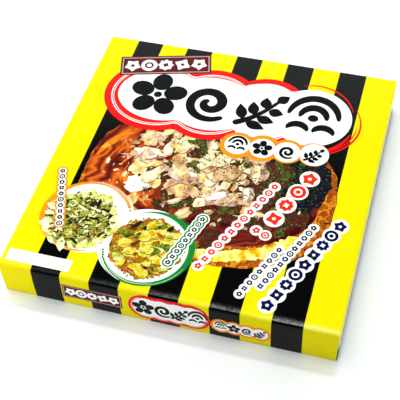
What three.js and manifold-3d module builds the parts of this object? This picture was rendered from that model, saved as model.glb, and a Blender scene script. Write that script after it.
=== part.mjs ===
// A shut, flat gift carton for rice crackers. One sheet of printed board is folded into a lid, whose
// front and back flaps reach down to the table and whose end flaps stop half way. It sits over a black
// board tray. Sizes are in millimetres, +Z is up, and the front faces -Y.
import * as THREE from 'three';
import { mergeVertices } from 'three/addons/utils/BufferGeometryUtils.js';
import Module from 'manifold-3d';

// Driving dimensions
const WIDTH = 252; // the printed top, from one end fold to the other
const DEPTH = 257.6; // from the back of the lid to the front flap just under its fold
const HEIGHT = 33;
const BOARD = 0.6; // thickness of the lid's board
const GAP = 0.3; // between the lid and the tray
const LID_LIFT = 0.4; // the lid's lower edges hang this far above the table

// Folds
const TIGHT_FOLD = 0.9; // outer radius of the back and end folds
const SOFT_FOLD = 2.7; // outer radius of the fold along the front
const FOLD_STEPS = 5;

// The front flap bellies out a little, since only its fold and its corners hold it
const BELLY = 0.8; // where it stands out most
const BELLY_SAG = 0.2; // how much of that is left lower down, in the middle of the flap
const FLAP_ROWS = 8;
const FLAP_COLUMNS = 12;

// End flaps, which hang nearly straight beside the tray
const END_DROP = 17.5; // from the top down to their lower edge
const END_FLARE = 0.35; // how far that edge stands out
const END_TAPER = 0.3; // how much shorter it is at each corner
const CORNER_STEP = 0.2; // how far the flaps' upright edges stay behind the front and the back
const END_ROWS = 5;
const END_ROOT = 4; // width of top board that is made together with each end flap

// The belly is part of the outline, so the lid's middle lies half a belly ahead of the folds' middle
const BACK = (DEPTH + BELLY) / 2;
const FRONT = BACK - DEPTH;
const END = WIDTH / 2;

const material = {
  print: new THREE.MeshStandardMaterial({ color: 0xfdf00c, roughness: 0.32, metalness: 0 }),
  blackBoard: new THREE.MeshStandardMaterial({ color: 0x151716, roughness: 0.5, metalness: 0 }),
};

const manifoldLibrary = await Module();
manifoldLibrary.setup();

// Points along a quarter turn, both ends included
function quarterTurn(centreU, centreV, radius, startAngle) {
  return Array.from({ length: FOLD_STEPS + 1 }, (_, i) => {
    const angle = startAngle - (i / FOLD_STEPS) * (Math.PI / 2);
    return new THREE.Vector2(centreU + radius * Math.cos(angle), centreV + radius * Math.sin(angle));
  });
}

// A strip of board in section: the outer face runs clockwise, and the board's thickness lies on its right
function boardSection(outerFace) {
  const last = outerFace.length - 1;
  const innerFace = outerFace.map((point, i) => {
    const before = outerFace[Math.max(i - 1, 0)];
    const after = outerFace[Math.min(i + 1, last)];
    const along = after.clone().sub(before).normalize();
    return new THREE.Vector2(point.x + along.y * BOARD, point.y - along.x * BOARD);
  });
  return new THREE.Shape([...outerFace, ...innerFace.reverse()]);
}

function extrude(shape, depth, steps) {
  return new THREE.ExtrudeGeometry(shape, { depth, steps, bevelEnabled: false });
}

function moveVertices(geometry, move) {
  const position = geometry.getAttribute('position');
  const point = new THREE.Vector3();
  for (let i = 0; i < position.count; i += 1) {
    point.fromBufferAttribute(position, i);
    move(point);
    position.setXYZ(i, point.x, point.y, point.z);
  }
}

// Top, front flap and back flap: one section, extruded from end to end
function makeWrap() {
  const softCentre = HEIGHT - SOFT_FOLD;
  const flapLength = softCentre - LID_LIFT;
  const frontFlap = Array.from({ length: FLAP_ROWS }, (_, i) =>
    new THREE.Vector2(FRONT, LID_LIFT + (i / FLAP_ROWS) * flapLength));
  const section = boardSection([
    ...frontFlap,
    ...quarterTurn(FRONT + SOFT_FOLD, softCentre, SOFT_FOLD, Math.PI),
    ...quarterTurn(BACK - TIGHT_FOLD, HEIGHT - TIGHT_FOLD, TIGHT_FOLD, Math.PI / 2),
    new THREE.Vector2(BACK, LID_LIFT),
  ]);
  const span = WIDTH - 2 * TIGHT_FOLD;
  const wrap = extrude(section, span, FLAP_COLUMNS);
  const alongX = new THREE.Matrix4().makeBasis(
    new THREE.Vector3(0, 1, 0), new THREE.Vector3(0, 0, 1), new THREE.Vector3(1, 0, 0));
  wrap.applyMatrix4(alongX).translate(-span / 2, 0, 0);

  moveVertices(wrap, (point) => {
    if (point.y > FRONT + SOFT_FOLD || point.z > softCentre) return;
    const down = (softCentre - point.z) / flapLength;
    const across = (2 * point.x) / span;
    const sag = BELLY_SAG * (1 - across ** 2);
    const heldByCorner = 0.5 * across ** 4;
    point.y -= BELLY * (1 - heldByCorner) * Math.sin(Math.PI * down * (1 - sag));
  });
  return wrap;
}

// How far an end flap reaches past the end of the top board, at a height beside a fold
function cornerReach(z, fold) {
  const rise = Math.max(z - (HEIGHT - fold), 0);
  return Math.sqrt(Math.max((fold - CORNER_STEP) ** 2 - rise ** 2, 0));
}

// One end flap with its fold and the strip of top board that it grows from, on the +X side. Its soft
// corner, beside the front fold, lies towards -Y or, where it will be turned round, towards +Y.
function makeEndFlap(softSide) {
  const foldCentre = HEIGHT - TIGHT_FOLD;
  const hang = foldCentre - (HEIGHT - END_DROP);
  const flap = Array.from({ length: END_ROWS }, (_, i) => {
    const down = (i + 1) / END_ROWS;
    return new THREE.Vector2(END + END_FLARE * down * down, foldCentre - down * hang);
  });
  const section = boardSection([
    new THREE.Vector2(END - END_ROOT, HEIGHT),
    ...quarterTurn(END - TIGHT_FOLD, foldCentre, TIGHT_FOLD, Math.PI / 2),
    ...flap,
  ]);
  const length = DEPTH - SOFT_FOLD - TIGHT_FOLD;
  const endFlap = extrude(section, length, 1);
  const alongY = new THREE.Matrix4().makeBasis(
    new THREE.Vector3(1, 0, 0), new THREE.Vector3(0, 0, 1), new THREE.Vector3(0, -1, 0));
  endFlap.applyMatrix4(alongY).translate(0, length / 2, 0);

  moveVertices(endFlap, (point) => {
    const side = Math.sign(point.y);
    const down = Math.max(foldCentre - point.z, 0) / hang;
    const reach = cornerReach(point.z, side === softSide ? SOFT_FOLD : TIGHT_FOLD);
    point.y += side * (reach - END_TAPER * down);
  });
  return endFlap;
}

function toManifold(geometry) {
  const bare = geometry.clone();
  bare.deleteAttribute('normal');
  bare.deleteAttribute('uv');
  const merged = mergeVertices(bare, 1e-4);
  return new manifoldLibrary.Manifold(new manifoldLibrary.Mesh({
    numProp: 3,
    vertProperties: Float32Array.from(merged.getAttribute('position').array),
    triVerts: Uint32Array.from(merged.getIndex().array),
  }));
}

function toGeometry(solid) {
  const mesh = solid.getMesh();
  const geometry = new THREE.BufferGeometry();
  geometry.setAttribute('position', new THREE.BufferAttribute(mesh.vertProperties, 3));
  geometry.setIndex(new THREE.BufferAttribute(mesh.triVerts, 1));
  geometry.computeVertexNormals();
  return geometry;
}

function makeLid() {
  const flapMiddle = (FRONT + SOFT_FOLD + BACK - TIGHT_FOLD) / 2;
  const rightFlap = makeEndFlap(-1);
  const leftFlap = makeEndFlap(1).rotateZ(Math.PI);
  const wrap = toManifold(makeWrap());
  const folded = [rightFlap, leftFlap].reduce(
    (board, flap) => board.add(toManifold(flap.translate(0, flapMiddle, 0))), wrap);
  return toGeometry(folded);
}

// The tray stands for itself and for the packed crackers in it, so it is solid up to the lid
function makeTray() {
  const inset = BOARD + GAP;
  const front = FRONT + inset;
  const back = BACK - inset;
  const top = HEIGHT - inset;
  const softTop = SOFT_FOLD - inset;
  const section = new THREE.Shape([
    new THREE.Vector2(front, 0),
    ...quarterTurn(front + softTop, top - softTop, softTop, Math.PI),
    new THREE.Vector2(back, top),
    new THREE.Vector2(back, 0),
  ]);
  const span = WIDTH - 2 * inset;
  const alongX = new THREE.Matrix4().makeBasis(
    new THREE.Vector3(0, 1, 0), new THREE.Vector3(0, 0, 1), new THREE.Vector3(1, 0, 0));
  return extrude(section, span, 1).applyMatrix4(alongX).translate(-span / 2, 0, 0);
}

function named(name, geometry, finish) {
  const mesh = new THREE.Mesh(geometry, finish);
  mesh.name = name;
  return mesh;
}

const carton = new THREE.Group();
carton.add(named('lid', makeLid(), material.print));
carton.add(named('tray', makeTray(), material.blackBoard));

export default carton;
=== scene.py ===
import random
from math import atan2, ceil, copysign, cos, hypot, pi, radians, sin, sqrt, tau

import bmesh
import bpy
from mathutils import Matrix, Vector


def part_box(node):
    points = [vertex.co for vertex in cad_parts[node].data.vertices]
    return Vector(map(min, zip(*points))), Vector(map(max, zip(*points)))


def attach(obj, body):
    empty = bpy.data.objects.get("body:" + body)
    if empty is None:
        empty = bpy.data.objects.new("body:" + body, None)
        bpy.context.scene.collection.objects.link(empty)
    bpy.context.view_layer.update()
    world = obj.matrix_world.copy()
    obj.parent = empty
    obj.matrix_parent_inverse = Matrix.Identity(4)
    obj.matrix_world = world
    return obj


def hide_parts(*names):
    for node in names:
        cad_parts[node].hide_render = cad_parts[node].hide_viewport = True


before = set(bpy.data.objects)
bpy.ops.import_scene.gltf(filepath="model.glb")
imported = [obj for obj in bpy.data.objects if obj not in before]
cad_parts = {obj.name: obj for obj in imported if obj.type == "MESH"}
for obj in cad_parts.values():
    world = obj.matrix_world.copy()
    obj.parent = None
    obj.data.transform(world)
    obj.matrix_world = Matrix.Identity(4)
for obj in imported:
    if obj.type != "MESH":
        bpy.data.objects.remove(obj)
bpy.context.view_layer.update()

MM = 0.001


# The tray
# Black paperboard, cut and folded up into four walls. It holds the wrapped crackers, and the lid comes
# down over it, so that only its underside and the lower half of its end walls are seen. There the crackers
# press the walls out, nearly as far as the flaps above them.
TRAY_EDGE = 0.35 * MM
TRAY_FOLD = 2 * MM
TRAY_UPRIGHT = 20 * MM
TRAY_BOTTOM_AREA = 0.02
SWELL = 0.75 * MM
SWELL_TOP = 14.4 * MM
SWELL_END = 15.0 * MM
HEM = 14 * MM
GROOVE = 0.5 * MM
GROOVE_DEPTH = 0.25 * MM
FIBRE_DEPTH = 0.04 * MM
SMOOTH = radians(35)


def linear(red, green, blue):
    """A screen colour, each part from 0 to 255, as the shader wants it."""
    def channel(value):
        value /= 255
        return value / 12.92 if value <= 0.04045 else ((value + 0.055) / 1.055) ** 2.4
    return (channel(red), channel(green), channel(blue), 1)


def node(tree, kind, inputs=None, **settings):
    """A new shader node. Each of its inputs is a plain value or a link from another node."""
    made = tree.nodes.new("ShaderNode" + kind)
    for name, value in settings.items():
        setattr(made, name, value)
    for socket, value in (inputs or {}).items():
        if isinstance(value, bpy.types.NodeSocket):
            tree.links.new(value, made.inputs[socket])
        else:
            made.inputs[socket].default_value = value
    return made


def cloudy(tree, scale, detail=2, stretch=(1, 1, 1), swirl=0):
    """A cloudy pattern that lies still on the carton, with scale bumps to the metre."""
    place = node(tree, "TexCoord").outputs["Object"]
    mapping = node(tree, "Mapping", {"Vector": place, "Scale": stretch})
    pattern = node(tree, "TexNoise", {"Vector": mapping.outputs["Vector"], "Scale": scale,
                                      "Detail": detail, "Distortion": swirl})
    return pattern.outputs["Fac"]


def ranged(tree, value, low, high, to_low=0, to_high=1):
    """The same pattern with another range, held at its ends."""
    mapped = node(tree, "MapRange", {"Value": value, "From Min": low, "From Max": high,
                                     "To Min": to_low, "To Max": to_high})
    return mapped.outputs["Result"]


def board(name, colour, gloss=(0.13, 0.16), fibre=0.05, specular=0.07):
    """Bare or printed board in one screen colour, with an uneven gloss and the paper's fibres in it."""
    material = bpy.data.materials.new(name)
    material.use_nodes = True
    tree = material.node_tree
    shader = tree.nodes["Principled BSDF"]
    shader.inputs["Base Color"].default_value = linear(*colour)
    shader.inputs["Specular IOR Level"].default_value = specular
    tree.links.new(ranged(tree, cloudy(tree, 140, 3), 0.3, 0.7, *gloss), shader.inputs["Roughness"])
    bump = node(tree, "Bump", {"Strength": fibre, "Distance": FIBRE_DEPTH, "Height": cloudy(tree, 1500, 3)})
    tree.links.new(bump.outputs["Normal"], shader.inputs["Normal"])
    return material


def select_where(worked, kind, wanted):
    """In edit mode, selects the faces or edges for which wanted is true, and nothing else."""
    bpy.ops.mesh.select_mode(type={"faces": "FACE", "edges": "EDGE"}[kind])
    bpy.ops.mesh.select_all(action="DESELECT")
    edit = bmesh.from_edit_mesh(worked.data)
    for item in getattr(edit, kind):
        item.select_set(bool(wanted(item)))
    edit.select_flush_mode()
    bmesh.update_edit_mesh(worked.data)


tray_low, tray_high = (Vector(corner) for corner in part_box("tray"))
bpy.ops.object.select_all(action="DESELECT")
bpy.ops.mesh.primitive_cube_add(size=1, location=(tray_low + tray_high) / 2)
tray = bpy.context.object
tray.name = "tray_board"
tray.scale = tray_high - tray_low
bpy.ops.object.transform_apply(location=True, rotation=False, scale=True)
bpy.ops.object.mode_set(mode="EDIT")
select_where(tray, "edges", lambda edge: all(
    end.co.z > tray_high.z - TRAY_EDGE and end.co.y < tray_low.y + TRAY_EDGE for end in edge.verts))
bpy.ops.mesh.bevel(offset=TRAY_FOLD, segments=5)
select_where(tray, "edges", lambda edge: edge.calc_length() > TRAY_UPRIGHT and (
    abs(edge.verts[0].co.z - edge.verts[1].co.z) > TRAY_UPRIGHT
    or max(end.co.z for end in edge.verts) < TRAY_EDGE))
bpy.ops.mesh.bevel(offset=TRAY_EDGE, segments=3)
for inset, depth in ((HEM, 0), (GROOVE, -GROOVE_DEPTH), (GROOVE, GROOVE_DEPTH)):
    select_where(tray, "faces", lambda face: face.normal.z < -0.99 and face.calc_area() > TRAY_BOTTOM_AREA)
    bpy.ops.mesh.inset(thickness=inset, depth=depth)
for height in (SWELL_TOP, SWELL_END):
    bpy.ops.mesh.select_all(action="SELECT")
    bpy.ops.mesh.bisect(plane_co=(0, 0, height), plane_no=(0, 0, 1))
bpy.ops.object.mode_set(mode="OBJECT")
for vertex in tray.data.vertices:
    if vertex.co.z < (SWELL_TOP + SWELL_END) / 2 and abs(vertex.co.x) > tray_high.x - 2 * TRAY_EDGE:
        vertex.co.x += copysign(SWELL, vertex.co.x)
tray.data.materials.append(board("black board", (24, 25, 25), (0.42, 0.55), 0.5, 0.08))
bpy.ops.object.shade_smooth_by_angle(angle=SMOOTH)
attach(tray, "root")
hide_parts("tray")


# The lid's board
# One sheet of grey-backed board, printed and varnished, creased and folded into a shallow lid. The front
# fold is soft and its flap bellies out, the other folds are tight, and the end flaps hang nearly straight.
WIDTH = 252 * MM
BOARD = 0.6 * MM
SOFT_FOLD = 2.7 * MM
TIGHT_FOLD = 0.9 * MM
BELLY = 0.8 * MM
BELLY_SAG = 0.2
END_DROP = 17.5 * MM
END_FLARE = 0.35 * MM
END_TAPER = 0.3 * MM
CORNER_STEP = 0.2 * MM
TUCK = 0.55 * MM
FLAP_TAPER = 0.9 * MM
FLAP_ROWS = 12
END_ROWS = 6
FOLD_STEPS = 8
STRIPE = 22.38 * MM
STRIPES = 5
PRINT_ROOM = 0.3 * MM
# How far the fold's painted highlight and wear fade onto the top, and how weak they are at their left end
WEAR_RISE = 5 * MM
WEAR_LEAST = 0.1
NEAR = 0.01 * MM

lid_low, lid_high = (Vector(corner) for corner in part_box("lid"))
END = WIDTH / 2
TOP = lid_high.z - PRINT_ROOM
FRONT = lid_low.y + BELLY + PRINT_ROOM
BACK = lid_high.y
LIP = lid_low.z


def belly(x, z):
    """How far the front flap stands out at a place on it."""
    down = max(TOP - SOFT_FOLD - z, 0) / (TOP - SOFT_FOLD - LIP)
    across = x / (END - TIGHT_FOLD)
    sag = BELLY_SAG * (1 - across ** 2)
    return BELLY * (1 - 0.5 * across ** 4) * sin(pi * down * (1 - sag))


def corner_reach(z, fold, step=CORNER_STEP):
    """How far a flap reaches past the end of the top board, at a height beside a fold."""
    rise = max(z - (TOP - fold), 0)
    return (1 - step / fold) * sqrt(max(fold ** 2 - rise ** 2, 0))


def joined(tree, operation, first, second):
    """Two strengths joined by one of the shader's sums, such as ADD or MULTIPLY."""
    return node(tree, "Math", {0: first, 1: second}, operation=operation).outputs[0]


def paint(tree, colour):
    """Gives an ink a colour that changes from place to place."""
    tree.links.new(colour, tree.nodes["Principled BSDF"].inputs["Base Color"])


def mixed(tree, amount, first, second):
    """The first of two colours where the amount is none, the second where it is full."""
    return node(tree, "Mix", {0: amount, 6: first, 7: second}, data_type="RGBA").outputs[2]


def cracked(name, colour, worn, lower, across, specular=0.07):
    """Ink with a broken light line along the front fold, fading above it and growing to the right: a painted
    highlight, mixed with real scuffed wear on black ink.
    """
    material = board(name, colour, specular=specular)
    tree = material.node_tree
    split = node(tree, "SeparateXYZ", {0: node(tree, "TexCoord").outputs["Object"]})
    crease = FRONT + SOFT_FOLD
    # The light line's strength: a painted highlight of the overhead light on the fold, broken up like
    # scuffed ink, strongest on the fold's upper part and to the right
    amount = ranged(tree, cloudy(tree, 1300, 4, (0.4, 1, 1)), 0.36, 0.58, 0.15, 1)
    along = ranged(tree, cloudy(tree, 38, 2, (1, 0.1, 0.1)), 0.35, 0.6, 0.6, 0.9)
    below = ranged(tree, split.outputs["Z"], TOP - lower, TOP - 0.65 * lower)
    above = ranged(tree, split.outputs["Y"], crease, crease + WEAR_RISE, 1, 0)
    growing = ranged(tree, split.outputs["X"], *across, WEAR_LEAST, 1)
    for factor in (along, below, above, above, above, growing):
        amount = joined(tree, "MULTIPLY", amount, factor)
    # Mixes in the painted highlight's colour, which on black ink also stands for scuffed wear
    paint(tree, mixed(tree, amount, linear(*colour), linear(*worn)))
    return material


bpy.ops.object.select_all(action="DESELECT")
bpy.ops.mesh.primitive_plane_add(size=2)
lid = bpy.context.object
lid.name = "lid_board"
for vertex in lid.data.vertices:
    vertex.co.x *= END - TIGHT_FOLD
    vertex.co.y = BACK - TIGHT_FOLD if vertex.co.y > 0 else FRONT + SOFT_FOLD
    vertex.co.z = TOP

# Each fold: its edge of the top, the axis and turn of the bend, its centre, and the flap's length and rows
FOLDS = (
    (lambda at: at.y < FRONT + SOFT_FOLD + NEAR, (1, 0, 0), -1,
     (0, FRONT + SOFT_FOLD, TOP - SOFT_FOLD), TOP - SOFT_FOLD - LIP, FLAP_ROWS),
    (lambda at: at.y > BACK - TIGHT_FOLD - NEAR, (1, 0, 0), 1,
     (0, BACK - TIGHT_FOLD, TOP - TIGHT_FOLD), TOP - TIGHT_FOLD - LIP, FLAP_ROWS),
    (lambda at: at.x > END - TIGHT_FOLD - NEAR, (0, 1, 0), -1,
     (END - TIGHT_FOLD, 0, TOP - TIGHT_FOLD), END_DROP - TIGHT_FOLD, END_ROWS),
    (lambda at: at.x < -END + TIGHT_FOLD + NEAR, (0, 1, 0), 1,
     (-END + TIGHT_FOLD, 0, TOP - TIGHT_FOLD), END_DROP - TIGHT_FOLD, END_ROWS),
)
bpy.ops.object.mode_set(mode="EDIT")
for at_edge, axis, turn, centre, length, rows in FOLDS:
    select_where(lid, "edges", lambda edge: all(
        at_edge(end.co) and end.co.z > TOP - NEAR for end in edge.verts))
    bpy.ops.mesh.spin(steps=FOLD_STEPS, angle=turn * pi / 2, center=centre, axis=axis)
    for _ in range(rows):
        bpy.ops.mesh.extrude_edges_move(TRANSFORM_OT_translate={"value": (0, 0, -length / rows)})
for stripe in range(STRIPES):
    for side in (-0.5, 0.5):
        bpy.ops.mesh.select_all(action="SELECT")
        edge_x = (2 * stripe - STRIPES + 1 + side) * STRIPE
        bpy.ops.mesh.bisect(plane_co=(edge_x, 0, 0), plane_no=(1, 0, 0))
bpy.ops.mesh.select_all(action="SELECT")
bpy.ops.mesh.remove_doubles(threshold=NEAR)
bpy.ops.mesh.normals_make_consistent(inside=False)
bpy.ops.object.mode_set(mode="OBJECT")

flap_middle = (FRONT + SOFT_FOLD + BACK - TIGHT_FOLD) / 2
for vertex in lid.data.vertices:
    at = vertex.co
    if at.y < FRONT + SOFT_FOLD - NEAR:
        at.y -= belly(at.x, at.z)
    hang = max(TOP - TIGHT_FOLD - at.z, 0) / (END_DROP - TIGHT_FOLD)
    if abs(at.x) > END - NEAR:
        at.x += copysign(END_FLARE * hang ** 2, at.x)
    beside_end = abs(at.x) > END - TIGHT_FOLD + NEAR
    if beside_end and at.y < flap_middle:
        at.y -= corner_reach(at.z, SOFT_FOLD, TUCK) - END_TAPER * hang
    elif beside_end:
        at.y += corner_reach(at.z, TIGHT_FOLD) - END_TAPER * hang
    elif abs(at.x) > END - TIGHT_FOLD - NEAR and at.y < FRONT + SOFT_FOLD - NEAR:
        down = max(TOP - TIGHT_FOLD - at.z, 0) / (TOP - TIGHT_FOLD - LIP)
        at.x += copysign(corner_reach(at.z, TIGHT_FOLD, 0) - FLAP_TAPER * down, at.x)
if sum(face.normal.z * face.area for face in lid.data.polygons) < 0:
    lid.data.flip_normals()

YELLOW_INK = (239, 222, 7)
BLACK_INK = (7, 8, 7)
YELLOW_SPECULAR = 0.02
for ink in (
    board("yellow ink", YELLOW_INK, specular=YELLOW_SPECULAR),
    board("black ink", BLACK_INK),
    # The fold inks: on black, a light line that is partly real scuffed wear and partly a painted highlight;
    # on yellow, a painted highlight
    cracked("black ink on the fold", BLACK_INK, (158, 157, 152), 0.36 * MM, (-60 * MM, 100 * MM)),
    cracked("yellow ink on the fold", YELLOW_INK, (255, 250, 160), 1.2 * MM, (60 * MM, END),
            YELLOW_SPECULAR),
    board("grey back of the board", (196, 192, 182), (0.7, 0.8), 0.8),
    board("cut edge", (232, 228, 214), (0.7, 0.8), 0.8),
):
    lid.data.materials.append(ink)
YELLOW, BLACK, BLACK_FOLD, YELLOW_FOLD, BOARD_BACK, CUT_EDGE = range(6)
for face in lid.data.polygons:
    stripe = (face.center.x / STRIPE + STRIPES - 1) / 2
    on_black = abs(stripe - round(stripe)) < 0.25 and 0 <= round(stripe) < STRIPES
    on_top = face.center.z > TOP - SOFT_FOLD and face.center.y < BACK - TIGHT_FOLD
    if on_top and abs(face.center.x) < END - TIGHT_FOLD:
        face.material_index = BLACK_FOLD if on_black else YELLOW_FOLD
    else:
        face.material_index = BLACK if on_black else YELLOW

thicken = lid.modifiers.new("board", "SOLIDIFY")
thicken.thickness = BOARD
thicken.offset = -1
thicken.use_even_offset = True
thicken.material_offset = BOARD_BACK
thicken.material_offset_rim = CUT_EDGE
bpy.ops.object.modifier_apply(modifier=thicken.name)
for face in lid.data.polygons:
    face.material_index = min(face.material_index, CUT_EDGE)
bpy.ops.object.shade_smooth_by_angle(angle=SMOOTH)
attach(lid, "root")
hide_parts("lid")


# The food picture
# The largest printed picture: a glazed round of batter seen from close by, strewn with shavings and green
# flecks. It is process ink on the board, here as coats of 0.015 mm, one over the other.
INK = 0.015 * MM
THIN = 0.1
FLAP_COLUMN = 12 * MM
PICTURE = (2.75, -20.8)
PICTURE_HALF = (100, 72.5)
PICTURE_SQUARENESS = 2.6
GLAZE_SLANT = (1, 0.6, 0)
GLAZE_TURN = (-66 * MM, -36 * MM)
GLAZE_BANDS = 4
GLAZE_WAVER = 7
SHAVING_STRETCH = (1, 0.6, 1)

# How far out in the picture things may lie, as parts of its size, and their coats of ink from below upwards
OUTER_PART = 0.86
INNER_PART = 0.84
MIDDLE_PART = 0.82
GLAZE_COAT = 1.3
DARK_COAT = 1.6
EGG_COAT = 1.9
STROKE_COAT = 2.3
PATCH_COAT = 4.2
TOPPING_COAT = 5.4


def placed(outline, x, y, turn=0):
    """An outline turned about its own middle and moved to its place on the carton."""
    cosine, sine = cos(turn), sin(turn)
    return [(x + cosine * u - sine * v, y + sine * u + cosine * v) for u, v in outline]


def oval(wide, tall, points, squareness=2):
    """An oval of two half sizes, with fuller corners for a higher squareness."""
    outline = []
    for point in range(points):
        angle = tau * point / points
        cosine, sine = cos(angle), sin(angle)
        outline.append((copysign(abs(cosine) ** (2 / squareness), cosine) * wide,
                        copysign(abs(sine) ** (2 / squareness), sine) * tall))
    return outline


def ragged(rng, wide, tall, corners, rough):
    """An oval with an uneven edge."""
    outline = []
    for corner in range(corners):
        angle = tau * (corner + rng.uniform(-0.3, 0.3)) / corners
        reach = 1 + rng.uniform(-rough, rough)
        outline.append((wide * reach * cos(angle), tall * reach * sin(angle)))
    return outline


def middle(outline):
    """The middle of an outline and its reach from there."""
    x = sum(point[0] for point in outline) / len(outline)
    y = sum(point[1] for point in outline) / len(outline)
    return x, y, max(hypot(u - x, v - y) for u, v in outline)


def piled(outlines, coat):
    """Gives each outline, with its ink, a coat of its own wherever it might touch another one."""
    laid = []
    for outline, _ in outlines:
        x, y, reach = middle(outline)
        taken = {level for u, v, other, level in laid if hypot(u - x, v - y) < reach + other}
        level = next(number for number in range(len(laid) + 1) if number not in taken)
        laid.append((x, y, reach, level))
    return [(outline, coat + THIN * spot[3], ink) for (outline, ink), spot in zip(outlines, laid)]


def bend_to_flap(piece, fields):
    """Cuts a piece into short rows and columns, so that it can follow the flap's belly."""
    across = [point[0] for outline, _, _ in fields for point in outline]
    first, last = (ceil(end * MM / FLAP_COLUMN) for end in (min(across), max(across)))
    row = (TOP - SOFT_FOLD - LIP) / FLAP_ROWS
    cuts = [((place * FLAP_COLUMN, 0, 0), (1, 0, 0)) for place in range(first, last)]
    cuts += [((0, 0, LIP + place * row), (0, 0, 1)) for place in range(1, FLAP_ROWS)]
    for plane, facing in cuts:
        bpy.ops.mesh.select_all(action="SELECT")
        bpy.ops.mesh.bisect(plane_co=plane, plane_no=facing)


def printed(name, fields, on_flap=False):
    """One printed piece. Each field of it is an outline in millimetres, with its coat and its ink."""
    inks = list(dict.fromkeys(ink for _, _, ink in fields))
    bpy.ops.object.select_all(action="DESELECT")
    for outline, coat, ink in fields:
        bpy.ops.mesh.primitive_circle_add(vertices=len(outline), fill_type="NGON")
        if bpy.context.mode == "OBJECT":
            piece = bpy.context.object
            piece.name = name
            bpy.ops.object.mode_set(mode="EDIT")
        edit = bmesh.from_edit_mesh(piece.data)
        edit.verts.ensure_lookup_table()
        first = len(edit.verts) - len(outline)
        for vertex, (across, up) in zip(edit.verts[first:], outline):
            height = coat * INK
            vertex.co = (across * MM, -height, up * MM) if on_flap else (across * MM, up * MM, height)
        edit.verts[first].link_faces[0].material_index = inks.index(ink)
        bmesh.update_edit_mesh(piece.data)
    if on_flap:
        bend_to_flap(piece, fields)
    bpy.ops.mesh.select_all(action="SELECT")
    bpy.ops.mesh.extrude_region_move()
    edit = bmesh.from_edit_mesh(piece.data)
    for vertex in edit.verts:
        height = -INK if vertex.select else (-vertex.co.y if on_flap else vertex.co.z)
        if on_flap:
            vertex.co.y = FRONT - belly(vertex.co.x, vertex.co.z) - height
        else:
            vertex.co.z = TOP + height
    bmesh.update_edit_mesh(piece.data)
    bpy.ops.mesh.select_all(action="SELECT")
    bpy.ops.mesh.normals_make_consistent(inside=False)
    bpy.ops.object.mode_set(mode="OBJECT")
    for ink in inks:
        piece.data.materials.append(ink)
    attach(piece, "root")


def coloured(tree, pattern, colours, narrow, wide):
    """A pattern in several colours that run into each other, from one strength of it to another."""
    ramp = node(tree, "ValToRGB", {0: pattern})
    stops = ramp.color_ramp.elements
    stops.remove(stops[1])
    stops[0].position = narrow
    stops[0].color = linear(*colours[0])
    for number, colour in enumerate(colours[1:], 1):
        stop = stops.new(narrow + (wide - narrow) * number / (len(colours) - 1))
        stop.color = linear(*colour)
    return ramp.outputs[0]


def mottled(name, colours, scale, detail=4, narrow=0.36, wide=0.64, swirl=0, stretch=(1, 1, 1)):
    """Ink in a cloudy mix of colours, as in a picture of something uneven."""
    material = board(name, colours[0])
    tree = material.node_tree
    paint(tree, coloured(tree, cloudy(tree, scale, detail, stretch, swirl), colours, narrow, wide))
    return material


def swirled(name, bright, dark):
    """Glaze in wavering bands that follow the picture's rim, bright on the left and dark further on."""
    material = board(name, dark[0])
    tree = material.node_tree
    (across, up), (wide, tall) = PICTURE, PICTURE_HALF
    place = node(tree, "TexCoord").outputs["Object"]
    mapping = node(tree, "Mapping", {"Vector": place, "Location": (-across / wide, -up / tall, 0),
                                     "Scale": (1 / (wide * MM), 1 / (tall * MM), 0)})
    reach = node(tree, "VectorMath", {0: mapping.outputs["Vector"]}, operation="LENGTH")
    waver = ranged(tree, cloudy(tree, 18, 2.8, swirl=0.8), 0, 1, 0, GLAZE_WAVER)
    turns = joined(tree, "ADD", joined(tree, "MULTIPLY", reach.outputs["Value"], GLAZE_BANDS), waver)
    band = joined(tree, "PINGPONG", turns, 1)
    slant = node(tree, "VectorMath", {0: place, 1: GLAZE_SLANT}, operation="DOT_PRODUCT")
    further = ranged(tree, slant.outputs["Value"], *GLAZE_TURN)
    paint(tree, mixed(tree, further, coloured(tree, band, bright, 0, 1), coloured(tree, band, dark, 0, 1)))
    return material


def in_picture(x, y, part):
    """Whether a place lies within a part of the picture."""
    across = abs(x - PICTURE[0]) / (PICTURE_HALF[0] * part)
    up = abs(y - PICTURE[1]) / (PICTURE_HALF[1] * part)
    return across ** PICTURE_SQUARENESS + up ** PICTURE_SQUARENESS < 1


def stroke(spine, widths):
    """The outline of a brush stroke along its spine, with its width at each point and round ends."""
    left, right, caps = [], [], []
    for number, (x, y) in enumerate(spine):
        before, after = spine[max(number - 1, 0)], spine[min(number + 1, len(spine) - 1)]
        angle = atan2(after[1] - before[1], after[0] - before[0])
        half = widths[number] / 2
        left.append((x - half * sin(angle), y + half * cos(angle)))
        right.append((x + half * sin(angle), y - half * cos(angle)))
        if number in (0, len(spine) - 1):
            outward = angle + (pi if number == 0 else 0)
            caps.append([(x + half * cos(outward + turn), y + half * sin(outward + turn))
                         for turn in (-0.9, -0.3, 0.3, 0.9)])
    return right + caps[1] + left[::-1] + caps[0]


def arc(x, y, wide, tall, start, end, points=28):
    """Points along a piece of an oval, with its angles in degrees."""
    angles = [radians(start + (end - start) * point / (points - 1)) for point in range(points)]
    return [(x + wide * cos(angle), y + tall * sin(angle)) for angle in angles]


def swelling(points, thick, thin=0.12):
    """Widths of a stroke that swells from its ends to its middle."""
    swell = [max(sin(pi * point / (points - 1)), 0) ** 0.6 for point in range(points)]
    return [thin + (thick - thin) * part for part in swell]


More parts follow.
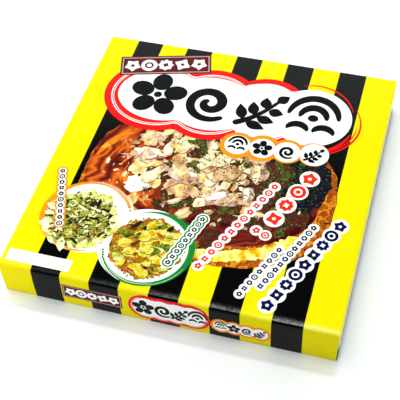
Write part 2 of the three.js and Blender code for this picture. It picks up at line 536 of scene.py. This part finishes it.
glaze_ink = swirled("glaze ink", ((78, 18, 16), (112, 32, 17), (150, 50, 18), (200, 82, 22), (232, 112, 30),
                                  (158, 54, 18), (96, 24, 16)),
                    ((46, 10, 16), (86, 20, 20), (124, 34, 24), (70, 16, 20), (150, 58, 34)))
streak_ink = mottled("bright glaze ink", ((168, 50, 14), (232, 96, 16), (196, 64, 14), (255, 150, 36)),
                     70, 3, swirl=1)
deep_glaze_ink = mottled("deep glaze ink", ((40, 10, 14), (88, 22, 20), (52, 12, 16), (122, 38, 24)), 140)
edge_ink = mottled("orange edge ink", ((206, 84, 12), (250, 136, 24), (232, 108, 16), (255, 172, 60)),
                   60, 3, swirl=1)
crust_ink = mottled("crust ink", ((70, 26, 10), (196, 92, 20), (118, 48, 14), (236, 146, 34), (150, 66, 16)),
                    130, 5, 0.34, 0.66, 0.8)
egg_ink = mottled("egg ink", ((222, 116, 20), (250, 188, 36), (255, 224, 70), (255, 244, 168),
                              (255, 214, 60)), 120, 5)
dark_ink = mottled("dark leaf ink", ((10, 9, 16), (18, 14, 26), (32, 32, 38), (13, 10, 18), (66, 78, 58),
                                     (52, 18, 30)), 460, 3, 0.34, 0.72)
herb_ink = mottled("herb ink", ((28, 14, 18), (84, 24, 24), (36, 44, 24), (116, 40, 30), (20, 20, 24),
                                (70, 86, 38), (140, 60, 40), (214, 190, 140)), 400, 3, 0.3, 0.76)
clump_ink = mottled("herb clump ink", ((18, 22, 16), (52, 72, 30), (30, 34, 20), (106, 122, 50),
                                       (72, 26, 22), (150, 160, 70)), 620, 3, 0.3, 0.7)
shaving_inks = [
    mottled(name + " shaving ink", colours, 200, 5, 0.3, 0.66, stretch=SHAVING_STRETCH)
    for name, colours in (
        ("cream", ((206, 156, 106), (246, 220, 170), (255, 242, 208))),
        ("tan", ((140, 86, 54), (212, 162, 112), (240, 206, 158))),
        ("golden", ((212, 146, 66), (248, 208, 124), (255, 238, 180))),
        ("rosy", ((130, 84, 70), (206, 162, 134), (238, 212, 188))))]
bright_shaving_ink = mottled("bright shaving ink", ((236, 208, 168), (255, 246, 218), (255, 252, 238)),
                             230, 4, 0.28, 0.5, stretch=SHAVING_STRETCH)
shade_ink = board("shade ink", (96, 50, 34))
leaf_ink = board("leaf fleck ink", (66, 108, 38))
deep_leaf_ink = board("deep leaf fleck ink", (22, 36, 20))
glint_ink = board("glint ink", (214, 200, 206))
white_ink = board("white ink", (255, 255, 252))


def shaving(rng, x, y, long, turn):
    """One curled shaving: its broad side, and for a larger one its shade and the lit side of the curl."""
    broad = long * rng.uniform(0.36, 0.78)
    shape = ragged(rng, long, broad, rng.choice((11, 14, 17)), 0.24)
    shapes = [(placed(shape, x, y, turn), rng.choices(shaving_inks, (5, 3, 3, 3))[0])]
    if long > 4.5:
        shapes.insert(0, (placed(shape, x + 0.3, y - 0.7, turn), shade_ink))
        lit = [(u * 0.8, v * 0.42 + broad * 0.26) for u, v in shape]
        lit_ink = rng.choice((bright_shaving_ink, shaving_inks[0], shaving_inks[2]))
        shapes.append((placed(lit, x, y, turn), lit_ink))
    return shapes


def scattered(rng, amount, middle_at, spread, part):
    """Places in the picture, thrown about a middle."""
    places = []
    while len(places) < amount:
        x, y = rng.gauss(middle_at[0], spread[0]), rng.gauss(middle_at[1], spread[1])
        if in_picture(x, y, part):
            places.append((x, y))
    return places


def patch(rng, x, y, long, broad, corners, rough, ink):
    """An uneven patch of ink, of a size between two and turned at random."""
    shape = ragged(rng, rng.uniform(*long), rng.uniform(*broad), corners, rough)
    return placed(shape, x, y, rng.uniform(0, 3)), ink


def flecks(rng, amount, middle_at, spread):
    """Small leaf flecks, green and nearly black."""
    shapes = []
    for x, y in scattered(rng, amount, middle_at, spread, OUTER_PART):
        size = rng.uniform(0.4, 1.1)
        shape = placed(ragged(rng, size, size * 0.7, 5, 0.25), x, y, rng.uniform(0, 3))
        shapes.append((shape, rng.choice((leaf_ink, leaf_ink, deep_leaf_ink))))
    return shapes


rng = random.Random(11)
crust = [(u * rng.uniform(0.985, 1), v * rng.uniform(0.985, 1))
         for u, v in oval(*PICTURE_HALF, 140, PICTURE_SQUARENESS)]
glaze = [(u * rng.uniform(0.98, 1), v * rng.uniform(0.98, 1)) for u, v in oval(94.5, 63, 110, 2.5)]
fields = [(placed(crust, *PICTURE), 1, crust_ink),
          (placed(glaze, PICTURE[0] - 5, PICTURE[1] + 8.5), GLAZE_COAT, glaze_ink),
          (placed(ragged(rng, 40, 40, 70, 0.05), 55, 0), DARK_COAT, dark_ink)]
rim_egg = [(placed(ragged(rng, 7.0, 5.2, 16, 0.2), x, y, radians(8)), egg_ink)
           for x, y in arc(PICTURE[0] + 4, PICTURE[1] + 3, 88, 67, -108, -36, 20)]
fields += piled(rim_egg, EGG_COAT)

# A bright edge on the left, and thin strokes of glaze inside it that follow the rim
strokes = [(stroke(arc(PICTURE[0], PICTURE[1], 95.5, 68.5, 134, 171, 30), swelling(30, 6.0)), edge_ink)]
for _ in range(30):
    part = rng.uniform(0.45, 0.88)
    start = rng.uniform(120, 225)
    reach = rng.uniform(8, 24)
    spine = arc(PICTURE[0] + rng.uniform(-8, 8), PICTURE[1] + rng.uniform(-8, 8),
                PICTURE_HALF[0] * part, PICTURE_HALF[1] * part, start, start + reach, 14)
    strokes.append((stroke(spine, swelling(14, rng.uniform(0.6, 2.4))),
                    rng.choice((streak_ink, edge_ink, deep_glaze_ink))))
fields += piled([item for item in strokes if in_picture(*middle(item[0])[:2], 0.97)], STROKE_COAT)

# Speckled patches of herbs, with more at the lower right, the shavings, shreds and clumps of herbs on them,
# and single flecks over all
patches = [patch(rng, x, y, (6, 15), (5, 10), 26, 0.24, herb_ink)
           for x, y in scattered(rng, 62, (8, -8), (38, 26), INNER_PART) if x > -58]
lower_rng = random.Random(12)
patches += [patch(lower_rng, x, y, (5, 10), (4, 7), 26, 0.24, herb_ink)
            for x, y in scattered(lower_rng, 15, (46, -42), (17, 8), INNER_PART)]
fields += piled(patches, PATCH_COAT)
toppings = []
for x, y in scattered(rng, 74, (-9, 3), (39, 27), INNER_PART):
    if not (x > 38 and y > -20) and not (x < -62 and y < 14) and x < 66:
        toppings.append(shaving(rng, x, y, rng.uniform(5.0, 12.5), rng.gauss(0.8, 0.9)))
for x, y in scattered(rng, 150, (0, -4), (40, 27), INNER_PART):
    if not (x > 44 and y > -14):
        toppings.append(shaving(rng, x, y, rng.uniform(1.4, 4.2), rng.uniform(0, 3)))
for x, y in scattered(rng, 70, (-2, -4), (38, 25), MIDDLE_PART):
    if not (x > 44 and y > -14):
        reach = rng.uniform(6, 16)
        turn = rng.uniform(0, 360)
        spine = arc(x, y, reach, reach, turn, turn + rng.uniform(20, 50), 8)
        toppings.append([(stroke(spine, swelling(8, rng.uniform(0.6, 1.3))), rng.choice(shaving_inks))])
for x, y in scattered(rng, 46, (0, -2), (38, 24), MIDDLE_PART):
    if x > -66:
        toppings.append([patch(rng, x, y, (2.4, 6.5), (1.6, 3.4), 20, 0.3, clump_ink)])
rng.shuffle(toppings)
toppings.append([(placed(ragged(rng, 10.0, 8.6, 26, 0.2), -51, -31, 0.5), bright_shaving_ink)])
fields += piled([shape for topping in toppings for shape in topping], TOPPING_COAT)
top_coat = max(coat for _, coat, _ in fields)
specks = flecks(rng, 120, (6, -8), (36, 26)) + flecks(rng, 130, (58, -4), (20, 20))
for clump in scattered(rng, 30, (2, -6), (38, 24), MIDDLE_PART):
    specks += flecks(rng, 13, clump, (3.4, 2.6))
specks += [(placed(ragged(rng, rng.uniform(0.4, 1.4), 0.5, 6, 0.3), x, y, rng.uniform(0, 3)), glint_ink)
           for x, y in scattered(rng, 60, (-50, -20), (22, 22), INNER_PART)]
specks += flecks(lower_rng, 70, (46, -42), (18, 9))
fields += piled(specks, top_coat + THIN)
printed("food_picture", fields)


# The two dishes
# Two smaller printed pictures, each a white dish in a brushed ring of ink with a heap of chopped things.
# The heaps are generic: seeded bits in the colours of leaves, batter, egg and pickles.
DISH_COAT = 10.6
orange_ink = board("orange ink", (250, 146, 20))
green_ink = board("green ink", (24, 130, 50))
batter_ink = mottled("batter ink", ((112, 66, 10), (184, 126, 22), (140, 88, 14), (216, 166, 44)), 300)
brown_ink = mottled("fried edge ink", ((96, 48, 16), (156, 94, 30), (204, 140, 60)), 380)
lettuce_ink = mottled("lettuce ink", ((34, 44, 18), (112, 122, 34), (190, 192, 70), (58, 74, 24),
                                      (226, 224, 140)), 430, 3, 0.3, 0.7)
bright_leaf_ink = mottled("bright leaf ink", ((186, 190, 52), (226, 224, 104), (242, 240, 176)), 380)
pale_ink = mottled("pale leaf ink", ((214, 214, 116), (238, 236, 172), (250, 248, 222)), 260)
chunk_ink = mottled("yellow chunk ink", ((196, 164, 22), (228, 202, 50), (240, 228, 116), (208, 178, 32)),
                    170)
cabbage_ink = mottled("cabbage ink", ((170, 168, 46), (214, 212, 100), (236, 234, 166)), 170)
pickle_ink = mottled("pickle ink", ((140, 44, 20), (192, 84, 40), (216, 124, 76)), 420)
soft_green_ink = mottled("soft green ink", ((28, 62, 18), (76, 116, 28), (130, 156, 44)), 420)
black_bit_ink = board("black bit ink", (26, 32, 20))
bit_shade_ink = board("bit shade ink", (92, 58, 12))

# Each dish: the middle and radius of its white, its ring and its heap; the ring's two angles and its widths
# along it; its streaks and thin lines, each by how far it lies beside the ring, its start and end along it
# and its width; then the heap's small bits, its rim and its chunks, with their inks, amounts and sizes
DISHES = (
    {"name": "left_dish", "coat": 0, "white": (-75.2, -70.7, 33.6), "ring": (-77.6, -70.3, 32.8),
     "ink": orange_ink, "sweep": (28, 292),
     "widths": (2.6, 3.9, 2.7, 2.2, 2.6, 3.6, 4.8, 5.0, 4.2, 3.2, 1.9, 0.4),
     "streaks": ((0.9, 0.0, 0.3, 0.4), (-0.7, 0.02, 0.24, 0.25), (0.9, 0.66, 0.9, 0.3),
                 (-1.1, 0.5, 0.8, 0.2)),
     "lines": ((3.0, 0.4, 0.75, 0.7), (2.3, 0.1, 0.3, 0.3), (-3.0, 0.6, 0.95, 0.4)),
     "dashes": (25, -16), "heap": (-80.6, -74.6, 28.0), "base": lettuce_ink, "bits": 520, "size": (0.9, 2.5),
     "slim": (0.22, 0.55), "slant": 0.75,
     "inks": (pale_ink, bright_leaf_ink, pale_ink, pale_ink, deep_leaf_ink, black_bit_ink, deep_leaf_ink,
              black_bit_ink, lettuce_ink, black_bit_ink, brown_ink),
     "rim": (pale_ink, pale_ink, bright_leaf_ink, pale_ink), "rim_bits": 20, "rim_size": (3.0, 6.4),
     "chunks": ((pale_ink, 16, 0.4), (black_bit_ink, 24, 0.3), (brown_ink, 7, 0.26), (pickle_ink, 5, 0.22)),
     "chunk_size": (2.0, 4.6), "seed": 5},
    {"name": "right_dish", "coat": 0.95, "white": (-27.2, -86.8, 34.4), "ring": (-24.2, -87.7, 33.0),
     "ink": green_ink, "sweep": (-158, 114), "widths": (0.6, 2.0, 2.9, 3.3, 3.9, 4.8, 5.2, 4.6, 2.6, 0.4),
     "streaks": ((-0.2, 0.08, 0.34, 0.4), (0.6, 0.3, 0.5, 0.25)),
     "lines": ((1.9, 0.0, 0.22, 0.6), (3.4, 0.5, 0.86, 0.4), (-2.9, 0.3, 0.5, 0.35)),
     "dashes": (196, 216), "heap": (-24.9, -88.4, 27.6), "base": batter_ink, "bits": 300, "size": (0.7, 2.0),
     "slim": (0.3, 0.7), "slant": None,
     "inks": (batter_ink, batter_ink, brown_ink, cabbage_ink, soft_green_ink, chunk_ink, batter_ink),
     "rim": (batter_ink, batter_ink, brown_ink), "rim_bits": 46, "rim_size": (1.4, 3.0),
     "chunks": ((chunk_ink, 42, 0.8), (cabbage_ink, 18, 0.62), (soft_green_ink, 19, 0.42),
                (pickle_ink, 13, 0.3), (black_bit_ink, 7, 0.35)),
     "chunk_size": (3.0, 5.8), "seed": 8},
)


def between(values, points):
    """Values in even steps, filled in to as many points as a spine has."""
    filled = []
    for point in range(points):
        place = point / (points - 1) * (len(values) - 1)
        number = min(int(place), len(values) - 2)
        filled.append(values[number] + (values[number + 1] - values[number]) * (place - number))
    return filled


def brushed_ring(rng, dish, coat):
    """A ring laid with a dry brush: a broad band with dry streaks, thin lines beside it, then dashes."""
    x, y, reach = dish["ring"]
    start, end = dish["sweep"]
    broad = stroke(arc(x, y, reach, reach, start, end, 90), between(dish["widths"], 90))
    fields = [(broad, coat, dish["ink"])]
    beside = [(line, white_ink) for line in dish["streaks"]]
    beside += [(line, dish["ink"]) for line in dish["lines"]]
    for number, ((away, near, far, thick), ink) in enumerate(beside):
        first, last = (start + (end - start) * part for part in (near, far))
        line = stroke(arc(x, y, reach + away, reach + away, first, last, 60), swelling(60, thick, 0.05))
        fields.append((line, coat + 0.15 + THIN * number / 2, ink))
    first, last = dish["dashes"]
    for number in range(5):
        near = first + (last - first) * number / 5
        away = reach + rng.uniform(-0.8, 0.4)
        spine = arc(x, y, away, away, near, near + (last - first) * 0.15, 8)
        dash = stroke(spine, swelling(8, rng.uniform(1.2, 2.4)))
        fields.append((dash, coat + 0.15 + THIN * number / 2, dish["ink"]))
    return fields


def in_heap(rng, dish, part, shape, slant=None):
    """A bit at a place thrown into the heap, turned at random or roughly along a slant."""
    x, y, reach = dish["heap"]
    away = reach * part * sqrt(rng.random())
    angle = rng.uniform(0, tau)
    turn = rng.uniform(0, 3) if slant is None else rng.gauss(slant, 0.6)
    return placed(shape, x + away * cos(angle), y + away * sin(angle), turn)


def chopped(rng, dish):
    """The bits of a heap: larger ones at its rim, chunks with shades, and small ones under and over."""
    x, y, reach = dish["heap"]
    bits = []
    for number in range(dish["rim_bits"]):
        angle = tau * (number + rng.uniform(-0.3, 0.3)) / dish["rim_bits"]
        away = reach * rng.uniform(0.88, 1.02)
        long = rng.uniform(*dish["rim_size"])
        shape = ragged(rng, long, long * rng.uniform(0.45, 0.7), 12, 0.22)
        place = (x + away * cos(angle), y + away * sin(angle))
        bits.append([(placed(shape, *place, rng.uniform(0, 3)), rng.choice(dish["rim"]))])
    for ink, amount, flat in dish["chunks"]:
        for _ in range(amount):
            long = rng.uniform(*dish["chunk_size"])
            shape = ragged(rng, long, long * flat * rng.uniform(0.8, 1.1), rng.choice((7, 9, 11)), 0.18)
            chunk = in_heap(rng, dish, 0.88, shape)
            bits.append([([(u + 0.3, v - 0.6) for u, v in chunk], bit_shade_ink), (chunk, ink)])
    rng.shuffle(bits)
    small = []
    for _ in range(dish["bits"]):
        long = rng.uniform(*dish["size"])
        shape = ragged(rng, long, long * rng.uniform(*dish["slim"]), rng.choice((5, 6, 7)), 0.24)
        small.append((in_heap(rng, dish, 0.98, shape, dish["slant"]), rng.choice(dish["inks"])))
    under = len(small) * 4 // 5
    return small[:under] + [shape for bit in bits for shape in bit] + small[under:]


for dish in DISHES:
    rng = random.Random(dish["seed"])
    coat = DISH_COAT + dish["coat"]
    x, y, reach = dish["white"]
    fields = [(placed(oval(reach, reach, 96), x, y), coat, white_ink)]
    fields += brushed_ring(rng, dish, coat + 0.2)
    x, y, reach = dish["heap"]
    fields.append((placed(ragged(rng, reach, reach * 0.96, 70, 0.05), x, y), coat + 1.0, dish["base"]))
    fields += piled(chopped(rng, dish), coat + 1.2)
    printed(dish["name"], fields)


# The clouds
# White cloud-shaped panels with brushed rims, one large and one small. On them stand bold black brush
# ornaments of common kinds: a whorl, a sprig, waves and a blossom.
RIM_COAT = 10.6
WHITE_LOBES = ((-61.0, 67.7, 37.5, 29.5), (-18.0, 67.2, 36.5, 30.5), (25.25, 69.2, 33.8, 31.2),
               (65.25, 70.45, 33.0, 31.8))
RED_LOBES = ((-64.75, 66.7, 45.0, 40.8), (-18.0, 66.7, 41.2, 40.8), (27.0, 67.9, 36.2, 39.2))
SMALL_WHITE = ((14.5, 27.2, 10.3, 10.3), (34.75, 27.95, 10.3, 10.3), (54.5, 28.45, 10.5, 10.5),
               (76.0, 30.45, 11.5, 11.5))
SMALL_ORANGE = ((14.5, 26.7, 14.0, 14.0), (34.75, 28.2, 14.0, 14.0), (54.5, 29.2, 12.75, 12.75),
                (75.3, 30.7, 12.3, 12.3))
red_ink = board("red ink", (236, 26, 22))
black_ink = board("brush black ink", (12, 13, 13))


def cloud(lobes, steps=72):
    """The outline round a row of overlapping ovals, each with its middle and half sizes."""
    above, below = [], []
    for number, (x, y, wide, tall) in enumerate(lobes):
        others = lobes[:number] + lobes[number + 1:]
        for step in range(steps):
            angle = tau * step / steps
            across, up = x + wide * cos(angle), y + tall * sin(angle)
            if any(((across - u) / w) ** 2 + ((up - v) / t) ** 2 < 1 for u, v, w, t in others):
                continue
            (above if step <= steps // 2 else below).append((across, up))
    return sorted(above, reverse=True) + sorted(below)


def shifted(lobes, grow):
    """The same row of ovals, larger or smaller all round."""
    return tuple((x, y, wide + grow, tall + grow) for x, y, wide, tall in lobes)


def leaf(long, broad):
    """A pointed leaf that grows from its stalk along the first direction."""
    upper = [(long * step / 12, broad * sin(pi * (step / 12) ** 0.8)) for step in range(13)]
    return upper[::-1] + [(x, -y) for x, y in upper[1:-1]]


def whorl():
    """A spiral brush stroke."""
    spine = []
    for step in range(44):
        angle = radians(150 + 520 * step / 43)
        reach = 0.14 + 0.68 * step / 43
        spine.append((reach * cos(angle), reach * sin(angle)))
    return [stroke(spine, swelling(44, 0.36, 0.2))]


def sprig():
    """A bent stem with broad leaves in pairs and one at its tip."""
    spine = [(-0.7 + 1.2 * step / 11, -0.82 + 1.25 * step / 11 - 0.16 * sin(pi * step / 11))
             for step in range(12)]
    shapes = [stroke(spine, [0.26 - 0.012 * step for step in range(12)])]
    for number, step in enumerate((2, 5, 8)):
        x, y = spine[step]
        long = 0.74 - 0.1 * number
        shapes.append(placed(leaf(long, 0.2), x - 0.06, y + 0.06, radians(108 - 6 * number)))
        shapes.append(placed(leaf(long, 0.2), x + 0.08, y - 0.04, radians(-18 + 6 * number)))
    shapes.append(placed(leaf(0.52, 0.2), 0.46, 0.4, radians(46)))
    return shapes


def waves():
    """Two rising arcs round a dot, over two short arcs."""
    shapes = [stroke(arc(0, -0.3, reach, reach * 1.12, 172, 8), swelling(28, 0.32, 0.14))
              for reach in (0.9, 0.48)]
    shapes.append(placed(oval(0.19, 0.17, 20), 0, -0.28))
    for x in (-0.46, 0.46):
        shapes.append(stroke(arc(x, -0.98, 0.36, 0.32, 165, 15), swelling(28, 0.3, 0.12)))
    return shapes


def blossom():
    """Five rounded petals round a dotted middle."""
    angles = [radians(90 + 72 * petal) for petal in range(5)]
    petals = [placed(oval(0.4, 0.34, 24), 0.6 * cos(angle), 0.6 * sin(angle), angle)
              for angle in angles]
    return petals + [placed(oval(0.14, 0.14, 16), 0, 0)]


def ornaments(coat, *places):
    """Black ornaments, each with its kind, middle and half size, and each stroke on a coat of its own."""
    fields = []
    for kind, x, y, half in places:
        for number, shape in enumerate(kind()):
            outline = placed([(u * half, v * half) for u, v in shape], x, y)
            fields.append((outline, coat + THIN * number / 2, black_ink))
    return fields


fields = [(cloud(RED_LOBES), RIM_COAT, red_ink)]
for number, grow in enumerate((-5.9, -6.8, -7.7, -8.3)):
    rim_line = cloud(shifted(RED_LOBES, grow))
    fields.append((rim_line, RIM_COAT + 0.15 * (number + 1), (white_ink, red_ink)[number % 2]))

# The brushed end of the rim on the right: each stroke's middle, half sizes, two angles and thickness
BRUSHED_ARCS = ((65.25, 69.2, 34.7, 38.6, 112, 20, 1.4), (63.5, 66.5, 42.4, 38.2, 32, -78, 1.7),
                (62.5, 66.5, 40.6, 37.0, 2, -72, 1.2), (62.0, 66.5, 38.2, 35.8, -12, -80, 2.6))
for number, (x, y, wide, tall, start, end, thick) in enumerate(BRUSHED_ARCS):
    fields.append((stroke(arc(x, y, wide, tall, start, end, 40), swelling(40, thick)),
                   RIM_COAT + 0.8 + THIN * number, red_ink))
fields.append((cloud(WHITE_LOBES), RIM_COAT + 1.4, white_ink))
fields += ornaments(RIM_COAT + 1.6, (blossom, -64.5, 67.5, 25.0), (whorl, -19.5, 67.5, 24.0),
                    (sprig, 24.0, 71.0, 24.0), (waves, 67.0, 76.0, 23.0))
printed("large_cloud", fields)

fields = [(cloud(SMALL_ORANGE), RIM_COAT + 2.5, orange_ink), (cloud(SMALL_WHITE), RIM_COAT + 2.7, white_ink)]
fields += ornaments(RIM_COAT + 2.9, (waves, 14.5, 30.0, 8.2), (blossom, 34.4, 27.95, 8.4),
                    (whorl, 54.8, 28.4, 8.0), (sprig, 75.6, 31.0, 9.0))
printed("small_cloud", fields)


# The banner
# A dark red label with a pale inner line and a row of white rosettes, laid askew over the large cloud. It is
# printed with the topmost coats of ink.
BANNER = (-68.5, 103.6)
BANNER_HALF = (39.0, 11.5)
BANNER_TURN = 14.8
TOP_COAT = 16.3
maroon_ink = board("dark red ink", (96, 20, 24))
line_ink = board("pale line ink", (206, 184, 186))


def rectangle(wide, tall):
    """A rectangle of two half sizes."""
    return [(-wide, -tall), (wide, -tall), (wide, tall), (-wide, tall)]


def lobed(petals, depth, points=40):
    """A round outline drawn in between its petals."""
    outline = []
    for point in range(points):
        angle = tau * point / points
        reach = 1 - depth * abs(cos(petals * angle / 2))
        outline.append((reach * cos(angle), reach * sin(angle)))
    return outline


def rosette(kind, half):
    """A small bold ornament: outlines one over the other, by turns in the ink and the ground's colour."""
    shapes = (
        (lobed(5, 0.3), oval(0.24, 0.24, 14)),
        (oval(0.98, 0.98, 26), oval(0.54, 0.54, 20), oval(0.3, 0.3, 12)),
        (lobed(8, 0.24), lobed(4, 0.4, 24)),
        (lobed(4, 0.36), placed(rectangle(0.2, 0.2), 0, 0, pi / 4)),
    )[kind % 4]
    inner = (1, 0.42 if kind % 4 == 2 else 1, 1)
    return [[(u * half * part, v * half * part) for u, v in shape] for shape, part in zip(shapes, inner)]


def set_rosette(kind, x, y, half, turn, coat, ink, ground):
    """A rosette at its place, in its ink on its ground."""
    return [(placed(shape, x, y, turn), coat + THIN * number, (ink, ground)[number % 2])
            for number, shape in enumerate(rosette(kind, half))]


def banner(x, y, wide, tall, turn, coat, rosettes, line, inset):
    """The dark red label with its line and its row of rosettes."""
    turned = radians(turn)
    fields = []
    for number, (edge, ink) in enumerate(((0, maroon_ink), (inset, line_ink), (line, maroon_ink))):
        wide, tall = wide - edge, tall - edge
        fields.append((placed(rectangle(wide, tall), x, y, turned), coat + 0.2 * number, ink))
    half = tall * 0.78
    spacing = 2 * (wide - 1) / rosettes
    for number in range(rosettes):
        along = (number - (rosettes - 1) / 2) * spacing
        u, v = placed([(along, 0)], x, y, turned)[0]
        fields += set_rosette(number, u, v, half, turned + 0.3, coat + 0.6, white_ink, maroon_ink)
    return fields


printed("top_banner", banner(*BANNER, *BANNER_HALF, BANNER_TURN, TOP_COAT, 5, 0.75, 1.5))


# The rows of rosettes
# Slanting rows of small rosettes in scarlet and in dark blue, each row on one scalloped band of white, and
# two short rows across the dishes as capsules with coloured outlines.
HALO = 1.5
navy_ink = board("dark blue ink", (14, 18, 66))
scarlet_ink = board("scarlet ink", (238, 44, 22))
umber_ink = board("dark brown ink", (44, 20, 20))

# Each row: its name, its two ends, and the number, half size and ink of its rosettes
ROWS = (
    ("red_row", (77.75, 4.95), (59.75, -39.55), 4, 6.4, scarlet_ink),
    ("red_pair", (49.6, -53.4), (57.0, -56.4), 2, 3.3, scarlet_ink),
    ("small_red_row", (53.4, -9.05), (16.6, -94.8), 13, 3.1, scarlet_ink),
    ("blue_row", (108.75, -35.3), (72.5, -115.8), 9, 5.3, navy_ink),
    ("outer_small_blue_row", (90.2, -41.3), (64.2, -101.3), 12, 2.7, navy_ink),
    ("inner_small_blue_row", (70.0, -67.05), (51.4, -111.3), 9, 2.55, navy_ink),
)


def rosette_row(start, end, rosettes, half, ink, bands, coat):
    """Rosettes in a straight row, on bands of ink that follow their outline, the widest band first."""
    length = hypot(end[0] - start[0], end[1] - start[1])
    turned = atan2(end[1] - start[1], end[0] - start[0])
    spots = [length * number / (rosettes - 1) for number in range(rosettes)]
    fields = []
    for number, (grow, band_ink) in enumerate(bands):
        lobes = tuple((spot, 0, half + grow, half + grow) for spot in spots)
        fields.append((placed(cloud(lobes, 32), *start, turned), coat + 0.3 * number, band_ink))
    top = coat + 0.3 * len(bands)
    for number, spot in enumerate(spots):
        x, y = placed([(spot, 0)], *start, turned)[0]
        fields += set_rosette(number, x, y, half, turned + pi / 2, top, ink, white_ink)
    return fields


for name, start, end, rosettes, half, ink in ROWS:
    printed(name, rosette_row(start, end, rosettes, half, ink, ((HALO, white_ink),), TOP_COAT))

printed("left_capsule", rosette_row((-111.75, -32.05), (-95.5, -82.05), 10, 2.5, umber_ink,
                                    ((1.9, orange_ink), (0.7, white_ink)), TOP_COAT))
printed("right_capsule", rosette_row((8.25, -52.8), (-5.5, -97.05), 9, 2.4, umber_ink,
                                     ((3.0, white_ink), (2.0, green_ink), (0.7, white_ink)), TOP_COAT))


# The bare label
# A plain white panel near the front edge, in one coat of white ink over the stripes. Nothing is printed
# on it.
LABEL = (-97.6, -117.8)
LABEL_HALF = (24.65, 5.25)
printed("bare_label", [(placed(rectangle(*LABEL_HALF), *LABEL), TOP_COAT, white_ink)])


# The print on the front flap
# The banner and the two clouds again, smaller, side by side on the front flap. Their coats of ink follow
# the flap's belly.
FLAP_COAT = 2.0
FLAP_BANNER = (-54.7, 16.7)
FLAP_BANNER_HALF = (23.0, 7.25)
printed("flap_banner", banner(*FLAP_BANNER, *FLAP_BANNER_HALF, 0, FLAP_COAT, 5, 0.45, 0.9), on_flap=True)

lobes = tuple((x, 17.1, 10.4, 11.0) for x in (-13.2, -1.8, 9.6, 20.8))
fields = [(cloud(shifted(lobes, 3.2), 40), FLAP_COAT, red_ink),
          (cloud(shifted(lobes, 1.0), 40), FLAP_COAT + 0.2, white_ink),
          (cloud(shifted(lobes, 0.6), 40), FLAP_COAT + 0.4, red_ink),
          (cloud(lobes, 40), FLAP_COAT + 0.6, white_ink)]
fields += ornaments(FLAP_COAT + 0.8, (blossom, -15.4, 16.9, 8.6), (whorl, -0.4, 17.0, 8.2),
                    (sprig, 11.6, 17.6, 8.2), (waves, 25.2, 19.4, 7.6))
printed("flap_large_cloud", fields, on_flap=True)

lobes = tuple((x, 14.4, 5.7, 6.0) for x in (42.2, 51.7, 61.2, 70.7))
fields = [(cloud(shifted(lobes, 2.0), 40), FLAP_COAT + 2.0, orange_ink),
          (cloud(lobes, 40), FLAP_COAT + 2.2, white_ink)]
fields += ornaments(FLAP_COAT + 2.4, (waves, 42.2, 16.0, 4.8), (blossom, 51.7, 14.4, 4.9),
                    (whorl, 61.3, 14.4, 4.7), (sprig, 70.6, 14.6, 5.2))
printed("flap_small_cloud", fields, on_flap=True)


# The table, the light and the camera
# A white table, lit by a small lamp high up behind the carton, by two broad ones on its left and in front
# of it, and by a weak card low down at its front corner.
TABLE = 4.0
ROOM_TINT = (0.89, 1, 0.985, 1)
CAMERA_PLACE = (0.1546, -0.4878, 0.6037)
CAMERA_TURN = (39.876, 2.444, 15.797)
bpy.ops.object.select_all(action="DESELECT")
bpy.ops.mesh.primitive_plane_add(size=TABLE)
table = bpy.context.object
table.name = "table"
table.data.materials.append(board("white table", (250, 251, 251), (0.4, 0.43), specular=0.6))


def soft_light(name, place, size, watts, aim=(0, 0, 0.02)):
    """A square lamp that faces the carton. The varnish doesn't mirror it, and no view shows it."""
    turn = (Vector(aim) - Vector(place)).to_track_quat("-Z", "Y").to_euler()
    bpy.ops.object.light_add(type="AREA", location=place, rotation=turn)
    lamp = bpy.context.object
    lamp.name = name
    lamp.data.size = size
    lamp.data.energy = watts
    lamp.visible_glossy = False
    lamp.visible_camera = False


soft_light("back_light", (0.03, 0.71, 1.97), 0.16, 11)
soft_light("left_light", (-0.75, 0.3, 1.3), 1.0, 7.5)
soft_light("front_light", (0.05, -0.75, 1.5), 1.0, 6.6)
soft_light("front_card", (-0.28, -0.34, 0.075), 0.12, 0.3, (-0.05, -0.13, 0.016))

# The room is pale up to about 40 degrees above the table and dark above that, with a bright panel straight
# overhead and a window behind
room = bpy.data.worlds.new("room")
bpy.context.scene.world = room
room.use_nodes = True
room_tree = room.node_tree
directions = node(room_tree, "SeparateXYZ", {0: node(room_tree, "TexCoord").outputs["Generated"]})


def faded(side, low, high, to_low, to_high):
    """A strength that changes from one direction to another."""
    return ranged(room_tree, directions.outputs[side], low, high, to_low, to_high)


walls = joined(room_tree, "MULTIPLY", faded("Z", 0.59, 0.72, 1.0, 0.0), faded("X", 0.1, 0.8, 0.46, 0.66))
walls = joined(room_tree, "MULTIPLY", walls, faded("Y", -0.9, 0.0, 0.3, 1.0))
panel = faded("Z", 0.966, 0.982, 0.02, 4.1)
window = joined(room_tree, "MULTIPLY", faded("Z", 0.66, 0.74, 1.9, 0.0), faded("Y", 0.5, 0.7, 0.0, 1.0))
strength = joined(room_tree, "ADD", joined(room_tree, "ADD", walls, panel), window)
background = room_tree.nodes["Background"]
background.inputs["Color"].default_value = ROOM_TINT
room_tree.links.new(strength, background.inputs["Strength"])

bpy.ops.object.camera_add(location=CAMERA_PLACE, rotation=[radians(turn) for turn in CAMERA_TURN])
camera = bpy.context.object
camera.name = "camera"
camera.data.sensor_width = 36
camera.data.lens = 88.17
bpy.context.scene.camera = camera
bpy.context.scene.view_settings.view_transform = "Standard"
